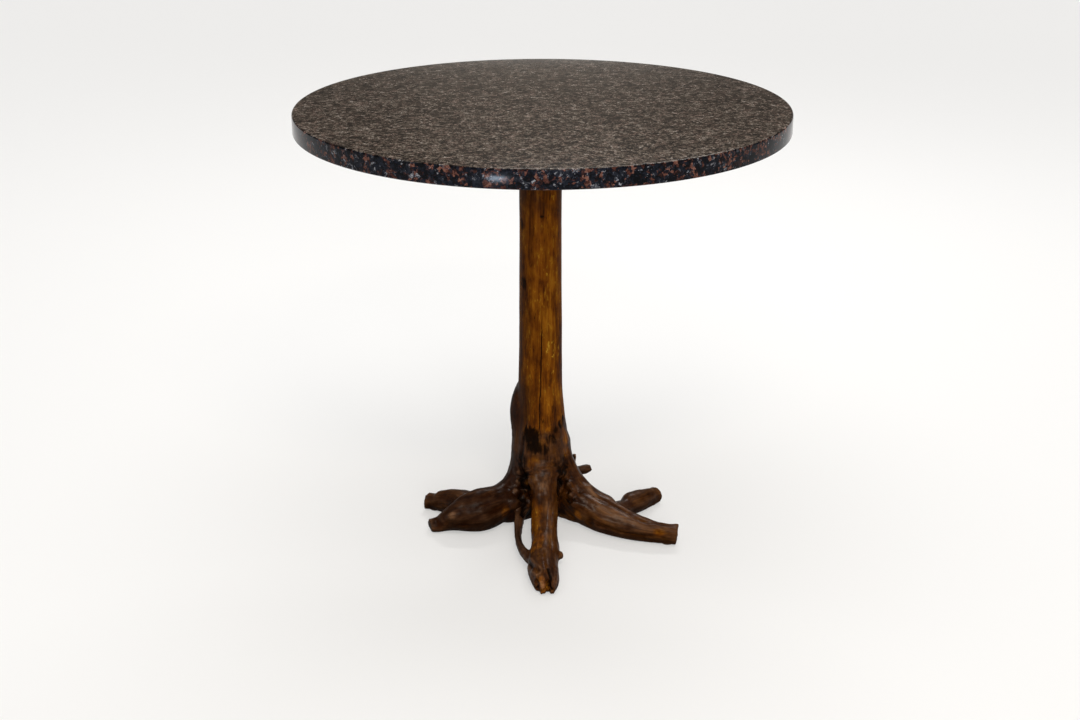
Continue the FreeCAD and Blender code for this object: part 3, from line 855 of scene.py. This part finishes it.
def stumpWood():
    look = stumpFinish
    finish, tree, shader = newFinish("varnishedStump")
    coordinates = add(tree, "ShaderNodeTexCoord").outputs
    place = coordinates["Object"]
    across = split(tree, place)[0]
    facing = split(tree, coordinates["Normal"])[2]
    grain = stored(tree, "grain", "Vector")
    streak, fibre, mottle, fleck, hair = [
        alongGrain(tree, grain, **look[name]) for name in ("streak", "fibre", "mottle", "fleck", "hair")]
    figure = scaled(tree, mottle, 0.5, times(tree, streak, 0.5))
    flame = scaled(tree, mottle, look["flameMottle"], look["flameBase"])
    flame = scaled(tree, streak, look["flameStreak"], flame)

    amber = stored(tree, "amber")
    gold = between(tree, amber, *look["goldFrom"])
    amber = maths(tree, "MULTIPLY_ADD", flame, scaled(tree, amber, *look["amberFlame"]), amber, clamp=True)
    # stored stains, with painted shade in corners, creases and hollows
    stainAndShade = scaled(tree, flame, look["stainAndShadeFlame"], stored(tree, "stainAndShade"))
    stainAndShade = between(tree, stainAndShade, *look["stainAndShadeEdge"])
    wood = blend(tree, amber, ramp(tree, figure, look["rootColour"]), ramp(tree, figure, look["trunkColour"]))

    golden = scaled(tree, gold, look["fleckGold"], times(tree, amber, look["fleckAmber"]))
    fleck = times(tree, between(tree, fleck, *look["fleckEdge"]), golden)
    fleck = times(tree, fleck, maths(tree, "MAXIMUM", gold, between(tree, mottle, *look["fleckMottle"])))
    wood = blend(tree, fleck, wood, look["goldColour"])
    # wear and painted highlight: the stored wear turns raised places, lumps and ridges tan
    worn = times(tree, stored(tree, "wear"), scaled(tree, flame, *look["wornAndSheenFlame"]), clamp=True)
    wood = blend(tree, worn, wood, look["wornAndSheenColour"])
    hair = maths(tree, "ABSOLUTE", maths(tree, "SUBTRACT", hair, 0.5))
    cracked = times(tree, amber, between(tree, mottle, *look["hairMottle"]))
    hair = times(tree, between(tree, hair, *look["hairWidth"]), cracked)
    wood = blend(tree, times(tree, hair, look["hairCover"]), wood, look["hairColour"])

    # painted shade: the undersides of the darker root wood are darkened
    under = times(tree, less(tree, between(tree, facing, *look["upward"])), less(tree, amber))
    shade = times(tree, scaled(tree, fibre, *look["fibreShade"]), less(tree, under, look["underShade"]))
    grey = add(tree, "ShaderNodeCombineColor", {"Red": shade, "Green": shade, "Blue": shade}).outputs[0]
    wood = blend(tree, 1.0, wood, grey, "MULTIPLY")
    # stains and painted shade are laid on in near black
    wood = blend(tree, times(tree, stainAndShade, look["stainAndShadeCover"]), wood, look["stainAndShadeColour"])
    wood = blend(tree, dryingCheck(tree, place), wood, look["checkColour"])

    upper = between(tree, facing, *look["varnishFacing"])
    varnish = times(tree, less(tree, amber, look["varnishLoss"]), less(tree, stainAndShade, look["varnishLoss"]))
    varnish = times(tree, varnish, scaled(tree, upper, 1 - look["varnishUnder"], look["varnishUnder"]))
    ends = [between(tree, across, *look[name]) for name in ("leftEnd", "rightEnd")]
    varnish = times(tree, varnish, less(tree, maths(tree, "MAXIMUM", *ends), look["endLoss"]))
    soft = grains(tree, place, look["ripplesPerMetre"], Detail=2.0)
    pits = grains(tree, place, look["pitsPerMetre"], Detail=4.0, Roughness=0.65)
    shares = look["reliefShares"]
    relief = scaled(tree, streak, shares["streak"], times(tree, fibre, shares["fibre"]))
    relief = scaled(tree, pits, shares["pits"], relief)
    relief = scaled(tree, hair, shares["hair"], relief)
    plug(tree, shader, {
        "Base Color": wood,
        "Roughness": scaled(tree, between(tree, mottle, *look["roughMottle"]), *look["rough"]),
        "Specular IOR Level": look["shine"],
        "Coat Weight": times(tree, varnish, look["varnish"]),
        "Coat Roughness": look["varnishRough"],
        "Coat Normal": bumped(tree, soft, **look["ripple"]),
        "Normal": bumped(tree, relief, **look["relief"])})
    return finish


def makeStump():
    piece = stumpSkin()
    blendCrown(piece)
    refine(piece)
    carve(piece)
    dress(piece, stumpWood())
    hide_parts("stump_pedestal")
    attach(piece, "root")
    print("stump done,", len(piece.data.polygons), "faces")


# Fixings that stay as CAD nodes

fixings = {
    "mounting_plate": {"colour": (0.03, 0.03, 0.032), "metal": 0.0, "rough": 0.45, "grit": 900},
    "wood_screws": {"colour": (0.6, 0.6, 0.58), "metal": 1.0, "rough": 0.32, "grit": 1500},
    "plate_bolts": {"colour": (0.62, 0.61, 0.57), "metal": 1.0, "rough": 0.3, "grit": 1500},
    "plate_washers": {"colour": (0.62, 0.61, 0.57), "metal": 1.0, "rough": 0.35, "grit": 1500},
    "stone_inserts": {"colour": (0.72, 0.53, 0.22), "metal": 1.0, "rough": 0.3, "grit": 1200},
}

# Handling marks on all of them
fixingWear = {
    "scale": 0.08, "edge": (0.35, 0.65), "dark": 0.6, "rough": 0.2, "strength": 0.15, "distance": 0.2 * mm}


def fixingFinish(name, look):
    finish, tree, shader = newFinish(name + "Finish")
    place = add(tree, "ShaderNodeTexCoord").outputs["Object"]
    wear = grains(tree, place, look["grit"] * fixingWear["scale"], Detail=4.0)
    grit = grains(tree, place, look["grit"], Detail=2.0)
    worn = tuple(fixingWear["dark"] * c for c in look["colour"])
    plug(tree, shader, {
        "Base Color": blend(tree, between(tree, wear, *fixingWear["edge"]), worn, look["colour"]),
        "Roughness": scaled(tree, wear, fixingWear["rough"], look["rough"] - fixingWear["rough"] / 2),
        "Metallic": look["metal"],
        "Normal": bumped(tree, grit, fixingWear["strength"], fixingWear["distance"])})
    return finish


def dressFixings():
    for name, look in fixings.items():
        dress(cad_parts[name], fixingFinish(name, look))
    print("fixings done")


# Silicone dabs that bed the stone on the plate: squeezed out unevenly, with a bulging side

beddingDab = {
    "diameter": 56.0 * mm,
    "count": 4,
    "segments": 64,
    "uneven": 2.5 * mm,
    "bulge": 0.45,
    "bulgeSteps": 3,
    "colour": (0.62, 0.62, 0.6),
    "cloudsPerMetre": 60,
    "cloudShade": 0.7,
    "rough": (0.2, 0.25),
    "milky": 0.3,
    "milkyDepth": 2.0 * mm,
}


def silicone():
    look = beddingDab
    finish, tree, shader = newFinish("clearSilicone")
    place = add(tree, "ShaderNodeTexCoord").outputs["Object"]
    cloud = grains(tree, place, look["cloudsPerMetre"], Detail=3.0)
    dull = tuple(look["cloudShade"] * c for c in look["colour"])
    plug(tree, shader, {
        "Base Color": blend(tree, cloud, dull, look["colour"]),
        "Roughness": scaled(tree, cloud, *look["rough"]),
        "Subsurface Weight": look["milky"],
        "Subsurface Scale": look["milkyDepth"]})
    return finish


def makeBeddingDabs():
    low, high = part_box("bedding_dabs")
    depth = high.z - low.z
    radius = beddingDab["diameter"] / 2
    bm = bmesh.new()
    for i in range(beddingDab["count"]):
        angle = 2 * math.pi * i / beddingDab["count"]
        middle = Vector((math.cos(angle), math.sin(angle), 0)) * (high.x - radius)
        middle.z = (low.z + high.z) / 2
        disc = bmesh.ops.create_cone(
            bm, cap_ends=True, segments=beddingDab["segments"],
            radius1=radius, radius2=radius, depth=depth)["verts"]
        bmesh.ops.translate(bm, verts=disc, vec=middle)
        for v in disc:
            outwards = (v.co - middle).xy.to_3d().normalized()
            squeeze = 0.5 + 0.5 * noise.noise(middle * 100 + outwards * 2)
            v.co -= outwards * beddingDab["uneven"] * squeeze
    roundRims(bm, beddingDab["bulge"] * depth, beddingDab["bulgeSteps"])
    piece = makePiece("beddingDabs", bm)
    dress(piece, silicone())
    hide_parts("bedding_dabs")
    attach(piece, "root")
    print("bedding dabs done")


# Felt pads under the feet

feltPad = {
    "segments": 48,
    "edgeRound": 0.8 * mm,
    "roundSteps": 3,
    "fuzz": 0.12 * mm,
    "fuzzPerMetre": 900,
    "colour": (0.1, 0.07, 0.05),
    "dark": 0.5,
    "hairsPerMetre": 1800,
    "rough": 0.95,
    "sheen": 0.4,
    "hairs": {"strength": 0.6, "distance": 0.3 * mm},
}


def felt():
    look = feltPad
    finish, tree, shader = newFinish("darkFelt")
    place = add(tree, "ShaderNodeTexCoord").outputs["Object"]
    hairs = grains(tree, place, look["hairsPerMetre"], Detail=4.0, Distortion=1.5)
    dark = tuple(look["dark"] * c for c in look["colour"])
    plug(tree, shader, {
        "Base Color": blend(tree, hairs, dark, look["colour"]),
        "Roughness": look["rough"],
        "Sheen Weight": look["sheen"],
        "Normal": bumped(tree, hairs, **look["hairs"])})
    return finish


def makeFeltPads():
    finish = felt()
    for name in sorted(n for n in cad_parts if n.startswith("felt_pad")):
        low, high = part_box(name)
        middle = (low + high) / 2
        radius = (high.x - low.x) / 2
        bm = bmesh.new()
        bmesh.ops.create_cone(
            bm, cap_ends=True, segments=feltPad["segments"],
            radius1=radius, radius2=radius, depth=high.z - low.z)
        roundRims(bm, feltPad["edgeRound"], feltPad["roundSteps"])
        bmesh.ops.translate(bm, verts=bm.verts, vec=middle)
        for v in bm.verts:
            fuzz = feltPad["fuzz"] * (1 + noise.noise(v.co * feltPad["fuzzPerMetre"]))
            v.co.xy += (middle.xy - v.co.xy).normalized() * fuzz
        piece = makePiece(name.replace("felt_pad", "feltPad"), bm)
        dress(piece, finish)
        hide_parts(name)
        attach(piece, "root")
    print("felt pads done")


# Floor, light and camera

studio = {
    "floorSize": 80.0,
    "floorColour": (0.46, 0.456, 0.448),
    "floorGlow": 0.44,
    "floorGlowColour": (1.0, 0.99, 0.97),
    "floorRough": 0.9,
    "floorShine": 0.1,
    "keyStrength": 1.32,
    "keyFrom": (8.0, 16.0),  # azimuth to the right of the camera and elevation, degrees
    "keyAngle": 24.0,
    "skyStrength": 1.8,
    "skyFrom": (0.0, 90.0),
    "skyAngle": 75.0,
    # surroundings that the polish mirrors: colours, and where they change
    "worldBack": (0.3, 0.27, 0.235),
    "worldBackLow": (0.2, 0.18, 0.157),
    "worldBackSide": 0.55,
    "worldFront": (0.06, 0.06, 0.06),
    "worldHigh": (0.3, 0.3, 0.31),
    "backRises": (0.17, 0.36),
    "backAside": (0.03, 0.14),
    "backBegins": (0.3, 0.8),
    "highBegins": (0.35, 0.9),
    "backdrop": (0.93, 0.925, 0.91),
    "horizon": (0.04, 0.0),
}

softboxes = {
    "backSoftbox": {"place": (0.4, 2.1, 2.35), "size": (1.3, 0.22), "power": 26.0},
    "frontSoftbox": {
        "place": (0.25, -1.8, 2.25), "size": (0.7, 0.2), "power": 16.0, "colour": (1.0, 0.9, 0.78)},
    "leftSoftbox": {
        "place": (-1.8, -0.9, 2.1), "size": (0.4, 0.3), "power": 16.0, "colour": (1.0, 0.88, 0.72),
        "diffuse": False},
    "coolGlint": {
        "place": (-0.77, -2.4, 0.2), "size": (0.3, 0.18), "power": 0.2, "colour": (0.7, 0.83, 1.0),
        "aim": (-0.07, -0.42, 0.735), "spread": 25.0},
}

# What a softbox has where its own entry is silent
plainSoftbox = {"colour": (1.0, 1.0, 1.0), "diffuse": True, "aim": (0.0, 0.0, 0.1), "spread": 180.0}

photoCamera = {
    "place": (-0.004, -2.793, 1.3665),
    "pitch": 21.06,
    "focalPixels": 1676.0,
    "imageWidth": 1080.0,
    "sensor": 36.0,
}


def makeFloor():
    bm = bmesh.new()
    bmesh.ops.create_grid(bm, x_segments=1, y_segments=1, size=studio["floorSize"] / 2)
    floor = makePiece("floor", bm, smooth=False)
    finish, tree, shader = newFinish("paleFloor")
    ray = add(tree, "ShaderNodeLightPath").outputs
    seen = maths(tree, "ADD", ray["Is Camera Ray"], ray["Is Glossy Ray"])
    seen = maths(tree, "ADD", seen, ray["Is Transmission Ray"], clamp=True)
    plug(tree, shader, {
        "Base Color": (*studio["floorColour"], 1.0),
        "Roughness": studio["floorRough"],
        "Specular IOR Level": studio["floorShine"],
        "Emission Color": (*studio["floorGlowColour"], 1.0),
        "Emission Strength": times(tree, seen, studio["floorGlow"])})
    dress(floor, finish)


def addSun(name, direction, strength, angle):
    azimuth, elevation = direction
    lamp = bpy.data.lights.new(name, "SUN")
    lamp.energy = strength
    lamp.angle = math.radians(angle)
    sun = bpy.data.objects.new(name, lamp)
    sun.rotation_euler = (math.radians(90 - elevation), 0, math.radians(azimuth))
    sun.visible_glossy = False  # the softboxes make the highlights
    bpy.context.scene.collection.objects.link(sun)


def addSoftbox(name, look):
    lamp = bpy.data.lights.new(name, "AREA")
    lamp.shape = "RECTANGLE"
    lamp.size, lamp.size_y = look["size"]
    lamp.energy = look["power"]
    lamp.color = look["colour"]
    lamp.spread = math.radians(look["spread"])
    box = bpy.data.objects.new(name, lamp)
    box.location = look["place"]
    box.rotation_euler = (Vector(look["aim"]) - box.location).to_track_quat("-Z", "Y").to_euler()
    box.visible_diffuse = look["diffuse"]
    bpy.context.scene.collection.objects.link(box)


def makeWorld():
    world = bpy.data.worlds.new("studioWorld")
    world.use_nodes = True
    bpy.context.scene.world = world
    tree = world.node_tree
    x, y, z = split(tree, add(tree, "ShaderNodeTexCoord").outputs["Generated"])
    back = blend(tree, between(tree, z, *studio["backRises"]), studio["worldBackLow"], studio["worldBack"])
    aside = between(tree, maths(tree, "ABSOLUTE", x), *studio["backAside"])
    back = blend(tree, aside, back, (studio["worldBackSide"],) * 3, "MULTIPLY")
    low = blend(tree, between(tree, y, *studio["backBegins"]), studio["worldFront"], back)
    sky = blend(tree, between(tree, z, *studio["highBegins"]), low, studio["worldHigh"])
    # white behind the floor's far edge, also in mirror images of the horizon
    ray = add(tree, "ShaderNodeLightPath").outputs
    mirrored = maths(tree, "ADD", ray["Is Glossy Ray"], ray["Is Transmission Ray"], clamp=True)
    mirrored = times(tree, mirrored, between(tree, z, *studio["horizon"]))
    seen = maths(tree, "ADD", ray["Is Camera Ray"], mirrored, clamp=True)
    sky = blend(tree, seen, sky, studio["backdrop"])
    plug(tree, tree.nodes["Background"], {"Color": sky})


def makeLights():
    addSun("frontKey", studio["keyFrom"], studio["keyStrength"], studio["keyAngle"])
    addSun("openSky", studio["skyFrom"], studio["skyStrength"], studio["skyAngle"])
    for name, look in softboxes.items():
        addSoftbox(name, {**plainSoftbox, **look})
    makeWorld()


def makeCamera():
    lens = bpy.data.cameras.new("photoCamera")
    lens.sensor_width = photoCamera["sensor"]
    lens.lens = photoCamera["focalPixels"] / photoCamera["imageWidth"] * photoCamera["sensor"]
    camera = bpy.data.objects.new("photoCamera", lens)
    camera.location = photoCamera["place"]
    camera.rotation_euler = (math.radians(90 - photoCamera["pitch"]), 0, 0)
    bpy.context.scene.collection.objects.link(camera)
    bpy.context.scene.camera = camera
    bpy.context.scene.view_settings.view_transform = "Standard"


makeGraniteTop()
makeStump()
dressFixings()
makeBeddingDabs()
makeFeltPads()
makeFloor()
makeLights()
makeCamera()
print("studio done")
